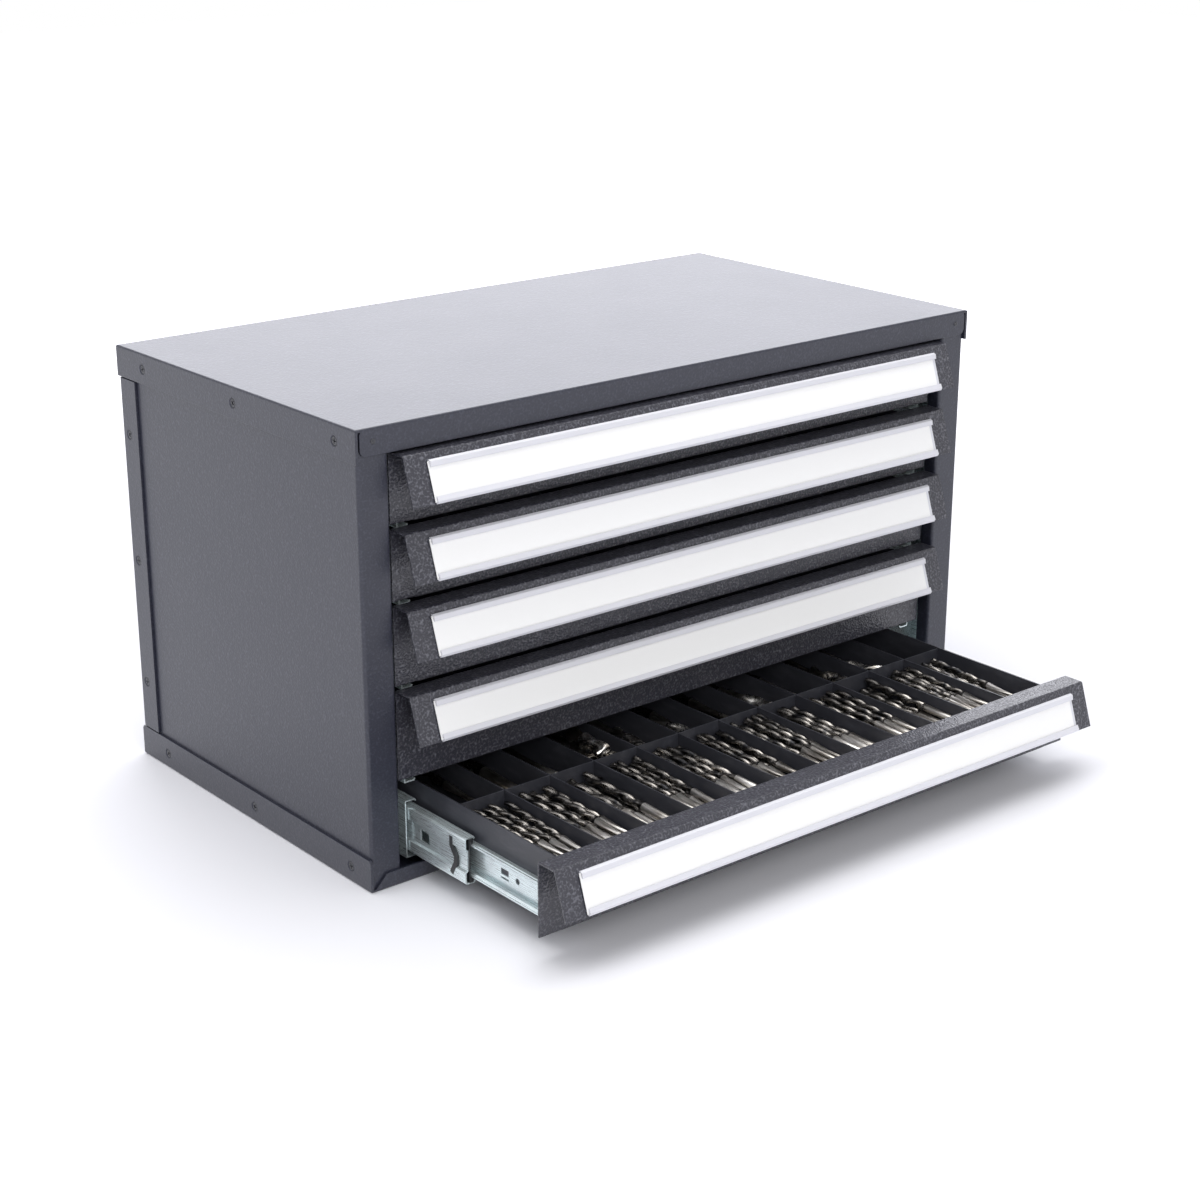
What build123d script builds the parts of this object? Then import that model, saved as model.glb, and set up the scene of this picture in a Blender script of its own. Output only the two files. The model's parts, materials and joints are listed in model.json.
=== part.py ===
from build123d import *
import os
from math import hypot

os.makedirs("parts", exist_ok=True)

# A bench-top drawer case for drill bits, in millimetres.
# Origin: centre of the case's base.  +X is to the right, -Y is the front, +Z is up.
# The lowest drawer stands partly open, as it does at rest.

# ---------------------------------------------------------------- driving dimensions
CASE_W, CASE_D, CASE_H = 600.0, 330.0, 340.0
SHEET = 2.0                 # case sheet, with its coating
THIN = 1.2                  # drawer sheet
FACE_HEIGHTS = (52.0, 53.0, 60.0, 69.0, 56.0)   # drawer faces, from the top down
FACE_GAP = 3.0              # from one face down to the next drawer's lip
TOP_LIP_Z = 318.2           # lip of the top drawer
REST_OPENING = 162.0        # how far the lowest drawer stands open
SLIDE_RATIO = 0.5           # a middle member travels half as far as its drawer

# Case: cover, base pan, sides and back
COVER_SIDE_H, COVER_FRONT_H = 24.0, 19.5
PAN_SIDE_H, PAN_FRONT_H = 25.0, 12.0
COVER_FOLD_R = 1.6
CORNER_SLIT = 1.5           # open slit between two flanges at a corner
FLANGE_CORNER_R = 5.0
STILE_W = 27.3
STILE_RETURN = 12.0
BACK_FLANGE = 24.0
FLANGE_JOINT = 1.0          # gap between the ends of neighbouring flanges
SIDE_FOLD_R = 2.5
SCREW_Y = (-139.0, -7.0, 125.0)
SCREW_Z = (66.0, 168.5, 271.0)
SCREW_EDGE = 12.3           # screw centres from the cover's and the pan's outer edge
SCREW_HEAD_R, SCREW_SHANK_R, SCREW_LENGTH = 4.2, 2.1, 9.5
RIVET_X, RIVET_Z = 286.0, 330.3
RIVET_HEAD_R, RIVET_HEAD_H = 2.0, 0.8
RIVET_SHANK_R, RIVET_LENGTH = 1.2, 5.0
HOLE_SLACK = 0.05           # room round a screw's or a rivet's shank

# Posts that carry the slides
POST_FACE_X = 260.2         # inner face of the posts
POST_SHEET = 1.5
POST_W = 32.0
POST_FOOT = 10.0
POST_Y = (-109.0, 118.0)

# Drawer front: face, lip and sloped pull, folded from one sheet
FACE_W = 535.0
FACE_SETBACK = 10.0         # face behind the case's front plane
LIP_DEPTH = 18.4
PULL_RUN, PULL_DROP = 11.6, 34.4
FOLD_R = 1.8
FACE_Y = FACE_SETBACK - CASE_D / 2

# Tray and its dividers
TRAY_W, TRAY_D = 495.0, 300.0
TRAY_DROP = 1.0             # tray floor below the bottom edge of the face
TRAY_BELOW_LIP = 5.0
DIVIDER = 1.0
DIVIDER_BELOW_TRAY = 1.0
COLUMNS = 12
ROW_SPLIT = 118.0           # row divider behind the drawer's face
NOTCH_SLACK = 0.15          # room round a plate in a halving notch

# Label holder and card on the pull
HOLDER_W, HOLDER_TOP, HOLDER_WALL = 499.0, 5.5, 0.8
HOLDER_DEPTH, HOLDER_LIP = 3.0, 4.8
HOLDER_SHOULDER, HOLDER_DIP = 1.3, 0.5          # a lip's sloped shoulder, and its dip to the card
HOLDER_SHIFT = 0.9
CARD_W, CARD_H, CARD_T = 497.0, 28.4, 0.5
CARD_SHIFT = -1.2

# Ball-bearing slide, measured outwards from the tray's wall (u) and from its centre line (w)
SLIDE_CENTRE = 17.3         # slide's centre line above the bottom edge of the face
SLIDE_LENGTH = 300.0
SLIDE_FRONT_Y = -151.5
MIDDLE_SETBACK = 11.0       # middle member's front end behind the slide's front end
INNER_T, MIDDLE_T, OUTER_T = 1.2, 1.2, 1.0
INNER_HALF, INNER_EDGE_U = 12.5, 7.0
MIDDLE_HALF, MIDDLE_WEB_U, MIDDLE_BAND_U, MIDDLE_TIP_U = 17.9, 9.2, 11.0, 2.0
MIDDLE_WEB_HALF = 7.6
OUTER_HALF, OUTER_WEB_U, OUTER_TIP_U = 22.5, 12.7, 2.8
TIP_CURL, TIP_FOOT = 1.4, 0.9                   # how far a flange's tip curls back, and its foot
BAND_SLOPE = 1.0            # from the middle member's bands down to its recessed web
BEND_R = 1.4                # outer bends of the middle member, on its centre line
GROOVE_U, GROOVE = 4.7, 1.3 # place and depth of the ball groove in the drawer member
GROOVE_HALF, INNER_CROWN = 0.9, 0.6
MIDDLE_CUT = 3.4            # depth of cuts through the middle member's bands and web
TAB_Y, TAB_W, TAB_H = 59.0, 8.7, 7.8            # stamped tab behind the slide's front end
TONGUE_W, TONGUE_DROP = 2.0, 1.6                # tongue left across the tab's window
HOLE_Y, HOLE_R = 44.6, 2.3
WINDOW_Y, WINDOW_W, WINDOW_H = 51.0, 10.5, 8.5  # square window in the middle member
CLIP_Y, CLIP_W, CLIP_SWAY = 15.0, 4.2, 3.4      # bumper's S-shaped clip
CLIP_HALF = 14.4
BUMPER_LENGTH, BUMPER_PROUD = 20.0, 1.2
BUMPER_WEB, JAW_DEPTH, JAW_GAP = 0.6, 3.2, 0.5
STRIP_LENGTH, STRIP_W, STRIP_GAP = 64.0, 2.0, 6.0
STRIP_CLEAR = 0.5           # between a ball strip and the member that runs along it
INNER_STRIP_U, OUTER_STRIP_U = 5.0, 7.4

TRAY_X = TRAY_W / 2
PULL_LENGTH = hypot(PULL_RUN, PULL_DROP)
FRONT_Y = -CASE_D / 2
SIDE_X = CASE_W / 2 - SHEET
SLIDE_BACK_Y = SLIDE_FRONT_Y + SLIDE_LENGTH


# ---------------------------------------------------------------- shared helpers
def save(piece, label):
    """Label one finished piece and write its file."""
    piece.part.label = label
    export_step(piece.part, f"parts/{label}.step")


def section_plane(y, z):
    """Vertical plane whose sketch x runs back (+Y) and sketch y runs up, centred at x = 0."""
    return Plane(origin=(0, y, z), x_dir=(0, 1, 0), z_dir=(1, 0, 0))


def front_plane(y, z):
    """Vertical plane facing the front, whose sketch x is +X and sketch y is up."""
    return Plane(origin=(0, y, z), x_dir=(1, 0, 0), z_dir=(0, -1, 0))


def slide_plane(y, z):
    """Plane across the left-hand slide: sketch x runs out from the tray's wall, sketch y is up."""
    return Plane(origin=(-TRAY_X, y, z), x_dir=(-1, 0, 0), z_dir=(0, 1, 0))


def slide_side_plane(u, y, z):
    """Plane against the left-hand slide at u, seen from outside: sketch x runs to the front."""
    return Plane(origin=(-TRAY_X - u, y, z), x_dir=(0, -1, 0), z_dir=(-1, 0, 0))


def screw_planes():
    """Planes of the eighteen case screws, each facing outwards on the outer surface."""
    planes = []
    for side in (-1, 1):
        x = side * CASE_W / 2
        spots = [(y, CASE_H - SCREW_EDGE) for y in SCREW_Y]
        spots += [(y, SCREW_EDGE) for y in SCREW_Y]
        spots += [(CASE_D / 2 - SCREW_EDGE, z) for z in SCREW_Z]
        planes += [Plane(origin=(x, y, z), x_dir=(0, side, 0), z_dir=(side, 0, 0)) for y, z in spots]
    return planes


def countersink_for_screws():
    """Cut the screws' countersinks through the outer sheet being built."""
    for plane in screw_planes():
        with BuildSketch(plane) as sink:
            Circle(SCREW_HEAD_R)
        extrude(sink.sketch, amount=-SHEET, taper=45, mode=Mode.SUBTRACT)


def drill_for_screws():
    """Cut the screws' plain holes through the side panel being built, behind the outer sheet."""
    for plane in screw_planes():
        with BuildSketch(plane) as hole:
            Circle(SCREW_SHANK_R + HOLE_SLACK)
        extrude(hole.sketch, amount=-3 * SHEET, mode=Mode.SUBTRACT)


def rivet_planes():
    """Planes of the two rivets near the ends of the cover's front flange."""
    return [Plane(origin=(x, FRONT_Y, RIVET_Z), x_dir=(1, 0, 0), z_dir=(0, -1, 0))
            for x in (-RIVET_X, RIVET_X)]


# ---------------------------------------------------------------- case
def make_top_cover():
    """Folded cap: a flat top with a flange down each edge and an open slit at each corner."""
    with BuildPart() as cover:
        with BuildSketch(Plane.XY.offset(CASE_H - SHEET)):
            Rectangle(CASE_W, CASE_D)
        extrude(amount=SHEET)
        # Side flanges, full depth.
        with BuildSketch(section_plane(0, CASE_H)):
            with Locations((0, -COVER_SIDE_H / 2)):
                Rectangle(CASE_D, COVER_SIDE_H)
        side_flange = extrude(amount=SHEET, mode=Mode.PRIVATE)
        for x in (-CASE_W / 2, CASE_W / 2 - SHEET):
            add(side_flange.moved(Location((x, 0, 0))))
        # Front and back flanges stop short of the side flanges.
        end_w = CASE_W - 2 * (SHEET + CORNER_SLIT)
        for y, height in ((FRONT_Y + SHEET, COVER_FRONT_H), (-FRONT_Y, COVER_SIDE_H)):
            with BuildSketch(front_plane(y, CASE_H)) as flange:
                with Locations((0, -height / 2)):
                    Rectangle(end_w, height)
                fillet(flange.vertices().group_by(Axis.Z)[0], FLANGE_CORNER_R)
            extrude(amount=SHEET)
        fillet(cover.faces().sort_by(Axis.Z)[-1].outer_wire().edges(), COVER_FOLD_R)
        countersink_for_screws()
        for plane in rivet_planes():
            with BuildSketch(plane):
                Circle(RIVET_SHANK_R + HOLE_SLACK)
            extrude(amount=-SHEET, mode=Mode.SUBTRACT)
    return cover


def make_bottom_pan():
    """Folded base: side and back flanges up, and a low front flange with mitred ends."""
    with BuildPart() as pan:
        with BuildSketch(Plane.XY):
            Rectangle(CASE_W, CASE_D)
        extrude(amount=SHEET)
        with BuildSketch(section_plane(0, 0)) as flange:
            with Locations((0, PAN_SIDE_H / 2)):
                Rectangle(CASE_D, PAN_SIDE_H)
            chamfer(flange.vertices().group_by(Axis.Z)[-1], SHEET)
        side_flange = extrude(amount=SHEET, mode=Mode.PRIVATE)
        for x in (-CASE_W / 2, CASE_W / 2 - SHEET):
            add(side_flange.moved(Location((x, 0, 0))))
        # The front flange is mitred back at 45 degrees from each bottom corner.
        half = CASE_W / 2 - SHEET
        with BuildSketch(front_plane(FRONT_Y + SHEET, 0)):
            with BuildLine():
                Polyline((-half, 0), (half, 0), (half - PAN_FRONT_H, PAN_FRONT_H),
                         (PAN_FRONT_H - half, PAN_FRONT_H), close=True)
            make_face()
        extrude(amount=SHEET)
        with BuildSketch(front_plane(-FRONT_Y, 0)) as flange:
            with Locations((0, PAN_SIDE_H / 2)):
                Rectangle(CASE_W - 2 * (SHEET + CORNER_SLIT), PAN_SIDE_H)
            fillet(flange.vertices().group_by(Axis.Z)[-1], FLANGE_CORNER_R)
        extrude(amount=SHEET)
        fillet(pan.faces().sort_by(Axis.Z)[0].outer_wire().edges(), COVER_FOLD_R)
        countersink_for_screws()
    return pan


def make_side(side):
    """Side panel folded round at the front into a stile with a return behind its inner edge."""
    stile_x = CASE_W / 2 - STILE_W
    stile_y = FRONT_Y + SHEET
    with BuildPart() as panel:
        with BuildSketch(Plane.XY.offset(SHEET)):
            with BuildLine():
                FilletPolyline(
                    (side * SIDE_X, CASE_D / 2 - 2 * SHEET - FLANGE_JOINT / 2),
                    (side * SIDE_X, stile_y),
                    (side * stile_x, stile_y),
                    (side * stile_x, stile_y + STILE_RETURN),
                    radius=SIDE_FOLD_R,
                )
                offset(amount=SHEET, side=Side.RIGHT if side > 0 else Side.LEFT)
            make_face()
        extrude(amount=CASE_H - 2 * SHEET)
        drill_for_screws()
        for plane in rivet_planes():
            with BuildSketch(plane):
                Circle(RIVET_SHANK_R + HOLE_SLACK)
            extrude(amount=-3 * SHEET, mode=Mode.SUBTRACT)
    return panel


def make_back_panel():
    """Back sheet with a flange wrapped on to the outside of each side panel."""
    back_y = CASE_D / 2 - SHEET
    low, high = PAN_SIDE_H + FLANGE_JOINT, CASE_H - COVER_SIDE_H - FLANGE_JOINT
    with BuildPart() as back:
        with BuildSketch(front_plane(back_y, 0)):
            with Locations((0, CASE_H / 2)):
                Rectangle(2 * SIDE_X, CASE_H - 2 * SHEET)
        extrude(amount=SHEET)
        with BuildSketch(Plane.XY.offset(low)):
            with BuildLine():
                FilletPolyline(
                    (-CASE_W / 2, back_y - BACK_FLANGE), (-CASE_W / 2, back_y),
                    (CASE_W / 2, back_y), (CASE_W / 2, back_y - BACK_FLANGE),
                    radius=SIDE_FOLD_R,
                )
                offset(amount=SHEET, side=Side.RIGHT)
            make_face()
        extrude(amount=high - low)
        countersink_for_screws()
    return back


def make_posts(side):
    """Two hat-section posts, from the base pan to the cover, that carry one side's slides."""
    foot_x = side * (SIDE_X - SHEET - POST_SHEET / 2)
    face_x = side * (POST_FACE_X + POST_SHEET / 2)
    with BuildPart() as posts:
        for y in POST_Y:
            near, far = y - POST_W / 2, y + POST_W / 2
            with BuildSketch(Plane.XY.offset(SHEET)):
                with BuildLine():
                    Polyline(
                        (foot_x, near - POST_FOOT), (foot_x, near), (face_x, near),
                        (face_x, far), (foot_x, far), (foot_x, far + POST_FOOT),
                    )
                trace(line_width=POST_SHEET)
            extrude(amount=CASE_H - 2 * SHEET)
    return posts


def make_case_screws():
    """Eighteen countersunk screws, flush with the outer sheet."""
    rim = SCREW_HEAD_R - HOLE_SLACK
    with BuildPart() as screws:
        for plane in screw_planes():
            # Profile in the plane that holds the screw's axis.
            side = Plane(origin=plane.origin, x_dir=plane.x_dir, z_dir=plane.y_dir)
            with BuildSketch(side):
                with BuildLine():
                    Polyline((0, 0), (rim, 0), (SCREW_SHANK_R, rim - SCREW_SHANK_R),
                             (SCREW_SHANK_R, SCREW_LENGTH), (0, SCREW_LENGTH), close=True)
                make_face()
            revolve(axis=Axis(plane.origin, plane.z_dir))
    return screws


def make_front_rivets():
    """Two small rivets that hold the cover's front flange to the stiles."""
    with BuildPart() as rivets:
        for plane in rivet_planes():
            with BuildSketch(plane):
                Circle(RIVET_HEAD_R)
            extrude(amount=RIVET_HEAD_H)
            with BuildSketch(plane):
                Circle(RIVET_SHANK_R)
            extrude(amount=-RIVET_LENGTH)
    return rivets


# ---------------------------------------------------------------- drawer
def make_front(base_z, face_h, out):
    """Face, outward lip and sloped pull, folded from one sheet."""
    with BuildPart() as front:
        with BuildSketch(section_plane(FACE_Y - out, base_z)):
            with BuildLine():
                FilletPolyline(
                    (THIN, 0), (THIN, face_h), (THIN - LIP_DEPTH, face_h),
                    (THIN - LIP_DEPTH - PULL_RUN, face_h - PULL_DROP),
                    radius=FOLD_R,
                )
                offset(amount=THIN, side=Side.LEFT)
            make_face()
        extrude(amount=FACE_W / 2, both=True)
    return front


def make_tray(base_z, wall_h, out):
    """Open box with thin walls, whose front wall stands against the back of the face."""
    front_y = FACE_Y + THIN - out
    with BuildPart() as tray:
        with BuildSketch(Plane.XY.offset(base_z - TRAY_DROP)):
            with Locations((0, front_y + TRAY_D / 2)):
                Rectangle(TRAY_W, TRAY_D)
        extrude(amount=wall_h)
        offset(amount=-THIN, openings=tray.faces().sort_by(Axis.Z)[-1], kind=Kind.INTERSECTION)
    return tray


def make_dividers(base_z, wall_h, out):
    """Egg-crate of one row divider and eleven column plates, notched half-way into each other."""
    floor_z = base_z - TRAY_DROP + THIN
    height = wall_h - THIN - DIVIDER_BELOW_TRAY
    inner_w, inner_d = TRAY_W - 2 * THIN, TRAY_D - 2 * THIN
    middle_y = FACE_Y + THIN - out + TRAY_D / 2
    row_y = FACE_Y - out + ROW_SPLIT
    pitch = TRAY_W / COLUMNS
    columns = [(i - COLUMNS / 2) * pitch for i in range(1, COLUMNS)]
    notch = DIVIDER + 2 * NOTCH_SLACK
    with BuildPart() as dividers:
        # Row divider, with a notch from its top edge at each column.
        with BuildSketch(front_plane(row_y + DIVIDER / 2, floor_z)):
            with Locations((0, height / 2)):
                Rectangle(inner_w, height)
            with Locations([(x, 0.75 * height) for x in columns]):
                Rectangle(notch, height / 2, mode=Mode.SUBTRACT)
        extrude(amount=DIVIDER)
        # Column plates, each with a notch from its bottom edge at the row divider.
        for x in columns:
            with BuildSketch(section_plane(middle_y, floor_z).offset(x - DIVIDER / 2)):
                with Locations((0, height / 2)):
                    Rectangle(inner_d, height)
                with Locations((row_y - middle_y, 0.25 * height)):
                    Rectangle(notch, height / 2 + 2 * NOTCH_SLACK, mode=Mode.SUBTRACT)
            extrude(amount=DIVIDER)
    return dividers


def pull_plane(base_z, face_h, out):
    """Plane across a pull: sketch x runs down its front surface, sketch y stands off it."""
    origin = (0, FACE_Y + THIN - LIP_DEPTH - out, base_z + face_h)
    return Plane(origin=origin, x_dir=(0, -PULL_RUN, -PULL_DROP), z_dir=(-1, 0, 0))


def make_label_holder(base_z, face_h, out):
    """Extruded channel on the pull, with a lip over the card along its top and its bottom edge."""
    c = HOLDER_WALL / 2
    top, low, depth = HOLDER_TOP + c, PULL_LENGTH - c, HOLDER_DEPTH - c
    shoulder, tip = HOLDER_SHOULDER, depth - HOLDER_DIP
    with BuildPart() as holder:
        with BuildSketch(pull_plane(base_z, face_h, out).offset(-HOLDER_SHIFT)):
            with BuildLine():
                Polyline(
                    (top + HOLDER_LIP, tip), (top + shoulder, depth), (top, shoulder), (top, c),
                    (low, c), (low, shoulder), (low - shoulder, depth), (low - HOLDER_LIP, tip),
                )
            trace(line_width=HOLDER_WALL)
        extrude(amount=HOLDER_W / 2, both=True)
    return holder


def make_label_card(base_z, face_h, out):
    """Blank card slid into the label holder."""
    with BuildPart() as card:
        with BuildSketch(pull_plane(base_z, face_h, out).offset(-CARD_SHIFT)):
            with Locations(((HOLDER_TOP + PULL_LENGTH) / 2, HOLDER_WALL + CARD_T / 2)):
                Rectangle(CARD_H, CARD_T)
        extrude(amount=CARD_W / 2, both=True)
    return card


# ---------------------------------------------------------------- slide
def clip_line():
    """Centre line of the bumper's S-shaped clip, seen from outside, about the clip's centre."""
    Polyline(
        (-CLIP_SWAY / 2, CLIP_HALF), (-CLIP_SWAY / 2, CLIP_HALF / 2), (CLIP_SWAY, 0),
        (CLIP_SWAY, -CLIP_HALF / 3), (-CLIP_SWAY / 2, -CLIP_HALF),
    )


def section_line(upper, radii=None):
    """Centre line of a rolled section through its upper points, and the same below."""
    lower = [(u, -w) for u, w in reversed(upper)]
    if radii is None:
        Polyline(*upper, *lower)
    else:
        FilletPolyline(*upper, *lower, radius=(*radii, *reversed(radii)))


def make_slide_inner(centre_z, out):
    """Drawer members, one against each side of the tray: a web with a grooved flange each way."""
    c = INNER_T / 2
    top = INNER_HALF - c
    upper = [
        (INNER_EDGE_U - c, top), (GROOVE_U + GROOVE_HALF, top), (GROOVE_U, top - GROOVE),
        (GROOVE_U - GROOVE_HALF, top), (c, top - INNER_CROWN),
    ]
    with BuildPart() as inner:
        with BuildSketch(slide_plane(SLIDE_FRONT_Y - out, centre_z)):
            with BuildLine():
                section_line(upper)
            trace(line_width=INNER_T)
        extrude(amount=SLIDE_LENGTH)
        # Stamped tab: a window with a tongue across it, and a screw hole in front.
        with BuildSketch(slide_side_plane(INNER_T, SLIDE_FRONT_Y - out, centre_z)):
            with Locations((-TAB_Y, 0)):
                Rectangle(TAB_W, TAB_H)
            with Locations((-TAB_Y, -TONGUE_DROP)):
                Rectangle(TAB_W, TONGUE_W, mode=Mode.SUBTRACT)
            with Locations((-HOLE_Y, 0)):
                Circle(HOLE_R)
        extrude(amount=-INNER_T, mode=Mode.SUBTRACT)
        mirror(about=Plane.YZ)
    return inner


def make_slide_middle(centre_z, out):
    """Middle members: a web recessed between two bands, and a flange that holds both ball tracks."""
    c = MIDDLE_T / 2
    top, band, web = MIDDLE_HALF - c, MIDDLE_BAND_U - c, MIDDLE_WEB_U - c
    front_y = SLIDE_FRONT_Y + MIDDLE_SETBACK - out
    upper = [
        (MIDDLE_TIP_U + c, top - TIP_CURL), (MIDDLE_TIP_U + c + TIP_FOOT, top), (band, top),
        (band, MIDDLE_WEB_HALF + BAND_SLOPE), (web, MIDDLE_WEB_HALF),
    ]
    with BuildPart() as middle:
        with BuildSketch(slide_plane(front_y, centre_z)):
            with BuildLine():
                section_line(upper, (0, BEND_R, 0, 0))
            trace(line_width=MIDDLE_T)
        extrude(amount=SLIDE_LENGTH - MIDDLE_SETBACK)
        with BuildSketch(slide_side_plane(MIDDLE_BAND_U, front_y, centre_z)):
            with Locations((-WINDOW_Y, 0)):
                Rectangle(WINDOW_W, WINDOW_H)
        extrude(amount=-MIDDLE_CUT, mode=Mode.SUBTRACT)
        with BuildSketch(slide_side_plane(MIDDLE_BAND_U, front_y + CLIP_Y, centre_z)):
            with BuildLine():
                clip_line()
            trace(line_width=CLIP_W)
        extrude(amount=-MIDDLE_CUT, mode=Mode.SUBTRACT)
        mirror(about=Plane.YZ)
    return middle


def make_slide_outer(centre_z):
    """Case members, one on each side's posts: a flat web and two curled flanges."""
    c = OUTER_T / 2
    top, web = OUTER_HALF - c, OUTER_WEB_U - c
    upper = [(OUTER_TIP_U + c, top - TIP_CURL), (OUTER_TIP_U + c + TIP_FOOT, top), (web, top)]
    with BuildPart() as outer:
        with BuildSketch(slide_plane(SLIDE_FRONT_Y, centre_z)):
            with BuildLine():
                section_line(upper)
            trace(line_width=OUTER_T)
        extrude(amount=SLIDE_LENGTH)
        mirror(about=Plane.YZ)
    return outer


def make_bumpers(centre_z, out):
    """Plastic bumpers in the mouths of the middle members, each held by a clip in its slot."""
    front_y = SLIDE_FRONT_Y + MIDDLE_SETBACK - out
    inner_u = MIDDLE_WEB_U - MIDDLE_T
    top = MIDDLE_HALF - MIDDLE_T
    with BuildPart() as bumpers:
        # Web and two jaws round the drawer member.
        with BuildSketch(slide_plane(front_y - BUMPER_PROUD, centre_z)):
            with Locations((inner_u - BUMPER_WEB / 2, 0)):
                Rectangle(BUMPER_WEB, 2 * (INNER_HALF + JAW_GAP))
            with Locations([(inner_u - JAW_DEPTH / 2, sign * (top + INNER_HALF + JAW_GAP) / 2)
                            for sign in (-1, 1)]):
                Rectangle(JAW_DEPTH, top - INNER_HALF - JAW_GAP)
        extrude(amount=BUMPER_LENGTH)
        # S-shaped clip through the slot in the web.
        with BuildSketch(slide_side_plane(MIDDLE_BAND_U, front_y + CLIP_Y, centre_z)):
            with BuildLine():
                clip_line()
            trace(line_width=CLIP_W - 2 * NOTCH_SLACK)
        extrude(amount=inner_u - BUMPER_WEB / 2 - MIDDLE_BAND_U)
        mirror(about=Plane.YZ)
    return bumpers


def make_ball_retainers(centre_z, out):
    """Ball strips against the inside and the outside of the middle members' flanges."""
    front_y = SLIDE_FRONT_Y + MIDDLE_SETBACK - out
    inner_y = front_y - BUMPER_PROUD + BUMPER_LENGTH + STRIP_GAP
    outer_y = SLIDE_BACK_Y - out - STRIP_GAP - STRIP_LENGTH
    rows = (
        (inner_y, INNER_STRIP_U, INNER_HALF + STRIP_CLEAR, MIDDLE_HALF - MIDDLE_T),
        (outer_y, OUTER_STRIP_U, MIDDLE_HALF, OUTER_HALF - OUTER_T - STRIP_CLEAR),
    )
    with BuildPart() as retainers:
        for start_y, u, low, high in rows:
            with BuildSketch(slide_plane(start_y, centre_z)):
                with Locations([(u, sign * (low + high) / 2) for sign in (-1, 1)]):
                    Rectangle(STRIP_W, high - low)
            extrude(amount=STRIP_LENGTH)
        mirror(about=Plane.YZ)
    return retainers


# ---------------------------------------------------------------- build
save(make_top_cover(), "top_cover")
save(make_bottom_pan(), "bottom_pan")
save(make_side(-1), "side_left")
save(make_side(1), "side_right")
save(make_back_panel(), "back_panel")
save(make_posts(-1), "posts_left")
save(make_posts(1), "posts_right")
save(make_case_screws(), "case_screws")
save(make_front_rivets(), "front_rivets")

lip_z = TOP_LIP_Z
for number, face_h in enumerate(FACE_HEIGHTS, start=1):
    base_z = lip_z - face_h
    wall_h = face_h + TRAY_DROP - TRAY_BELOW_LIP
    centre_z = base_z + SLIDE_CENTRE
    out = REST_OPENING if number == len(FACE_HEIGHTS) else 0.0
    half_out = SLIDE_RATIO * out
    save(make_front(base_z, face_h, out), f"drawer_{number}_front")
    save(make_tray(base_z, wall_h, out), f"drawer_{number}_tray")
    save(make_dividers(base_z, wall_h, out), f"drawer_{number}_dividers")
    save(make_label_holder(base_z, face_h, out), f"drawer_{number}_label_holder")
    save(make_label_card(base_z, face_h, out), f"drawer_{number}_label_card")
    save(make_slide_inner(centre_z, out), f"slide_{number}_inner")
    save(make_slide_middle(centre_z, half_out), f"slide_{number}_middle")
    save(make_slide_outer(centre_z), f"slide_{number}_outer")
    save(make_bumpers(centre_z, half_out), f"slide_{number}_bumpers")
    save(make_ball_retainers(centre_z, half_out), f"slide_{number}_ball_retainers")
    lip_z = base_z - FACE_GAP
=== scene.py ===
"""Dresses the drill bit drawer case: its coats and plating, its screws, and the loose drill bits.

Everything is in metres, in the frame's own axes: +X to the right, -Y out of the front, +Z up. Sizes whose
names end in _mm are in millimetres, and so are the shapes of a screw head, a rivet and a bit.
"""

import json
import logging
import math
import random
from dataclasses import dataclass, field
from enum import Enum

import bmesh
import bpy
from mathutils import Euler, Matrix, Vector

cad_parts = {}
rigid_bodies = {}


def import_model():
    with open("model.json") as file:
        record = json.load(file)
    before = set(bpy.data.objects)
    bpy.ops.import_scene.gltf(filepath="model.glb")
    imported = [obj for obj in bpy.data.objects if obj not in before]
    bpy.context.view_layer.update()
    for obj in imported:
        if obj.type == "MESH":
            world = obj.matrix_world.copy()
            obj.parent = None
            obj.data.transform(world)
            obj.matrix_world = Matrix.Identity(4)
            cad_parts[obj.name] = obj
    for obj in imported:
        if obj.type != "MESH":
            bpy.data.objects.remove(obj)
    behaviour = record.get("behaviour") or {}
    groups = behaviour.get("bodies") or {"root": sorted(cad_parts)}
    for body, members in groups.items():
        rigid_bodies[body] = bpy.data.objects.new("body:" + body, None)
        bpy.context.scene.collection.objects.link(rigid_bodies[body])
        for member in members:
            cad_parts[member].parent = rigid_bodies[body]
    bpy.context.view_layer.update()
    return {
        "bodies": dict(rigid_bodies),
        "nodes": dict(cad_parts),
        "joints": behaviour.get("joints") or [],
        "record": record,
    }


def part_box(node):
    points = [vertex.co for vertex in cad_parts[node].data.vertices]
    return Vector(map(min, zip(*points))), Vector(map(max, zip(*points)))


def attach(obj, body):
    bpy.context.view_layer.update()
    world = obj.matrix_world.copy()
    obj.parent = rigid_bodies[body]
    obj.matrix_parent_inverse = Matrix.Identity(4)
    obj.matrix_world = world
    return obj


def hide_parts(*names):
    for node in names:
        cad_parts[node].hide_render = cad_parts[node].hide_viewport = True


log = logging.getLogger("drill_bit_case")

MM = 0.001                      # one millimetre in the frame's metres
SEED = 7
OPEN_DRAWER = 5                 # the drawer that stands open and shows its bits
COLUMNS = 12                    # compartments across a drawer
WHITE = "FFFFFF"
Point = tuple[float, float, float]
Span = tuple[float, float]      # the least and the most of a value
Socket = bpy.types.NodeSocket


# ---------------------------------------------------------------- colours and nodes
def linear(colour: str) -> tuple[float, float, float, float]:
    """Turn an sRGB hex colour into the linear colour that a shader takes.

    Args:
        colour: six hex digits, such as "3A3B42".

    Returns:
        Red, green, blue and a full alpha.
    """
    channels = [int(colour[i:i + 2], 16) / 255 for i in (0, 2, 4)]
    values = [c / 12.92 if c <= 0.04045 else ((c + 0.055) / 1.055) ** 2.4 for c in channels]
    return values[0], values[1], values[2], 1.0


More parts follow.
